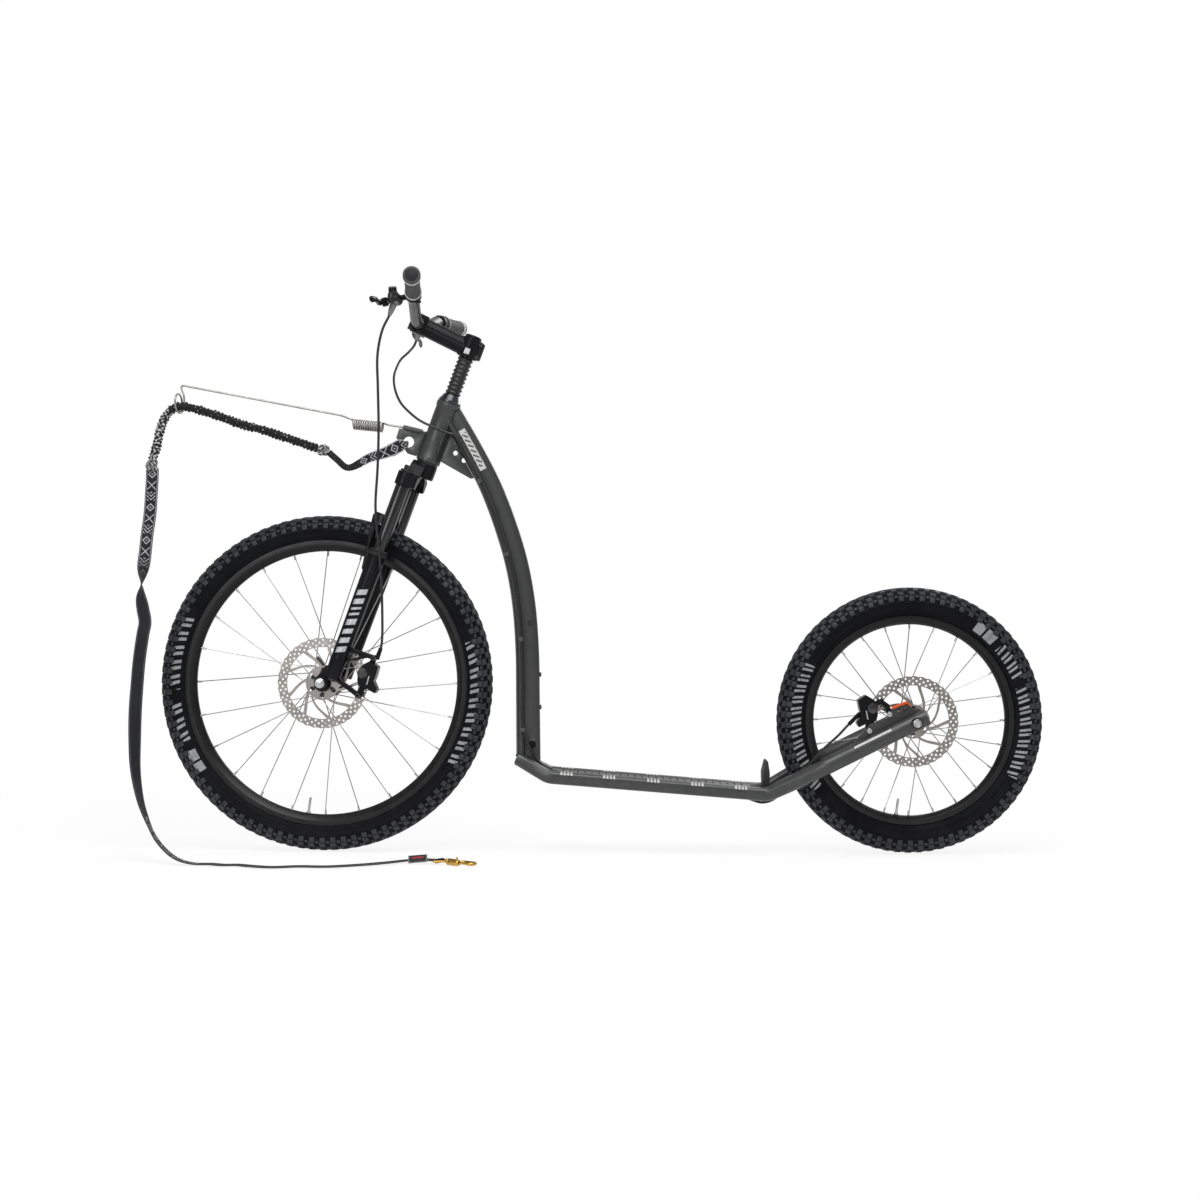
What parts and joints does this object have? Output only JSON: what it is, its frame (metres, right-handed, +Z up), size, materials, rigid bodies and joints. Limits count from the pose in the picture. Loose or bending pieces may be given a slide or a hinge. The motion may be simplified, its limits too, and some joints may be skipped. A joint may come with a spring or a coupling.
{
  "type": "kick bike",
  "caption": "Tall off-road scooter for mushing with a suspension fork, laced wheels, disc brakes, a low foot deck, and a sprung wire arm that holds a bungee leash clear of the front wheel.",
  "frame": {"origin": "On the ground midway between the two ends of the bike, in the plane of the rear wheel.", "axes": "+X runs from the front wheel to the rear wheel, +Y to the rider's right and +Z up. The camera of the picture looks along +Y at the bike's left side."},
  "size_m": [1.7926, 0.6419, 1.1171],
  "materials": {
    "frame_black": "satin black paint",
    "frame_grey": "satin dark grey paint",
    "black_metal": "black anodised",
    "bright_metal": "bright metal",
    "rotor_steel": "brushed",
    "dark_tube": "polished black",
    "rubber_black": "matt",
    "tyre_black": "matt",
    "pad_lining": "rough",
    "orange_metal": "orange anodised",
    "red_knob": "red anodised",
    "spring_wire": "drawn spring wire",
    "strap_black": "woven",
    "bungee_black": "gathered webbing over elastic",
    "webbing_grey": "patterned webbing",
    "brass": "polished brass"
  },
  "bodies": {
    "frame": {"head_tube": "frame_black", "down_tube": "frame_black", "gusset_plate": "frame_black", "antenna_bracket": "black_metal", "deck_tube_left": "frame_grey", "deck_tube_right": "frame_grey", "foot_plate": "frame_black", "rear_bridge": "frame_grey", "dropout_left": "frame_grey", "dropout_right": "frame_grey", "heel_guard": "rubber_black", "axle_lock_plate": "orange_metal", "rear_axle": "bright_metal", "rear_caliper": "black_metal", "rear_hose": "rubber_black", "antenna": "spring_wire", "leash_strap": "strap_black", "leash_bungee": "bungee_black", "leash_webbing": "webbing_grey", "snap_swivel_eye": "brass"},
    "rear_wheel": {"rear_tyre": "tyre_black", "rear_rim": "black_metal", "rear_hub": "black_metal", "rear_rotor": "rotor_steel"},
    "rear_outer_pad": {"rear_pad_outer": "pad_lining"},
    "rear_inner_pad": {"rear_pad_inner": "pad_lining"},
    "rear_release": {"rear_qr_lever": "black_metal"},
    "snap_hook": {"snap_body": "brass"},
    "snap_gate": {"snap_bolt": "brass"},
    "steering": {"headset_cover": "black_metal", "steerer_tube": "bright_metal", "fork_crown": "black_metal", "stanchion_left": "dark_tube", "stanchion_right": "dark_tube", "bellows_boot": "rubber_black", "stem": "black_metal", "stem_faceplate": "black_metal", "stem_top_cap": "black_metal", "handlebar": "black_metal", "grip_left": "rubber_black", "grip_right": "rubber_black", "brake_body_left": "black_metal", "brake_body_right": "black_metal", "rear_hose_loop": "rubber_black", "air_cap": "black_metal"},
    "left_lever": {"brake_lever_left": "black_metal"},
    "right_lever": {"brake_lever_right": "black_metal"},
    "lockout": {"lockout_knob": "black_metal"},
    "lowers": {"fork_lowers": "frame_black", "front_caliper": "black_metal", "front_axle": "bright_metal", "front_hose": "rubber_black"},
    "rebound": {"rebound_knob": "red_knob"},
    "front_outer_pad": {"front_pad_outer": "pad_lining"},
    "front_inner_pad": {"front_pad_inner": "pad_lining"},
    "front_release": {"front_qr_lever": "black_metal"},
    "front_wheel": {"front_tyre": "tyre_black", "front_rim": "black_metal", "front_hub": "black_metal", "front_rotor": "rotor_steel"}
  },
  "joints": [
    {"name": "steer", "type": "hinge", "parent": "frame", "child": "steering", "pos_m": [-0.51332, 0, 0.32147], "axis": [0.342, 0, 0.9397], "range_deg": [-41, 49], "deforming": ["rear_hose_loop"]},
    {"name": "fork_travel", "type": "slide", "parent": "steering", "child": "lowers", "axis": [0.342, 0, 0.9397], "range_m": [0, 0.075], "stiffness_N_per_m": 7000, "springref_m": -0.02, "deforming": ["front_hose"]},
    {"name": "front_wheel_spin", "type": "hinge", "parent": "lowers", "child": "front_wheel", "pos_m": [-0.548, 0.00258, 0.3341], "axis": [0.0656, 0.9976, -0.0239], "continuous": true},
    {"name": "rear_wheel_spin", "type": "hinge", "parent": "frame", "child": "rear_wheel", "pos_m": [0.617, 0, 0.265], "axis": [0, 1, 0], "continuous": true},
    {"name": "left_lever_pull", "type": "hinge", "parent": "steering", "child": "left_lever", "pos_m": [-0.416, -0.16689, 1.07141], "axis": [-0.2776, 0.0412, 0.9598], "range_deg": [0, 22], "stiffness_Nm_per_rad": 0.4, "springref_deg": -28.65},
    {"name": "right_lever_pull", "type": "hinge", "parent": "steering", "child": "right_lever", "pos_m": [-0.39266, 0.18824, 1.06292], "axis": [0.2776, -0.0412, -0.9598], "range_deg": [0, 22], "stiffness_Nm_per_rad": 0.4, "springref_deg": -28.65},
    {"name": "front_outer_pad_slide", "type": "slide", "parent": "lowers", "child": "front_outer_pad", "axis": [0.0656, 0.9976, -0.0239], "range_m": [0, 0.00035]},
    {"name": "front_inner_pad_slide", "type": "slide", "parent": "lowers", "child": "front_inner_pad", "axis": [-0.0656, -0.9976, 0.0239], "range_m": [0, 0.00035]},
    {"name": "rear_outer_pad_slide", "type": "slide", "parent": "frame", "child": "rear_outer_pad", "axis": [0, 1, 0], "range_m": [0, 0.00035]},
    {"name": "rear_inner_pad_slide", "type": "slide", "parent": "frame", "child": "rear_inner_pad", "axis": [0, -1, 0], "range_m": [0, 0.00035]},
    {"name": "front_release_cam", "type": "hinge", "parent": "lowers", "child": "front_release", "pos_m": [-0.54324, 0.075, 0.33236], "axis": [-0.8178, 0.04, -0.5741], "range_deg": [0, 150]},
    {"name": "rear_release_cam", "type": "hinge", "parent": "frame", "child": "rear_release", "pos_m": [0.617, 0.1166, 0.265], "axis": [-0.4462, 0, -0.8949], "range_deg": [0, 150]},
    {"name": "lockout_turn", "type": "hinge", "parent": "steering", "child": "lockout", "pos_m": [-0.37339, 0.06317, 0.74868], "axis": [0.342, 0, 0.9397], "range_deg": [0, 90]},
    {"name": "rebound_turn", "type": "hinge", "parent": "lowers", "child": "rebound", "pos_m": [-0.52135, 0.06317, 0.34217], "axis": [0.342, 0, 0.9397], "range_deg": [-170, 170]},
    {"name": "snap_swivel", "type": "hinge", "parent": "frame", "child": "snap_hook", "pos_m": [-0.28462, -0.22243, 0.0068], "axis": [0.766, -0.6428, 0], "continuous": true},
    {"name": "snap_gate_slide", "type": "slide", "parent": "snap_hook", "child": "snap_gate", "axis": [-0.766, 0.6428, 0], "range_m": [0, 0.011], "stiffness_N_per_m": 200, "springref_m": -0.004}
  ],
  "couplings": [
    {"joint": "front_outer_pad_slide", "follows": "left_lever_pull", "m_per_rad": 0.0009},
    {"joint": "front_inner_pad_slide", "follows": "left_lever_pull", "m_per_rad": 0.0009},
    {"joint": "rear_outer_pad_slide", "follows": "right_lever_pull", "m_per_rad": 0.0009},
    {"joint": "rear_inner_pad_slide", "follows": "right_lever_pull", "m_per_rad": 0.0009}
  ]
}
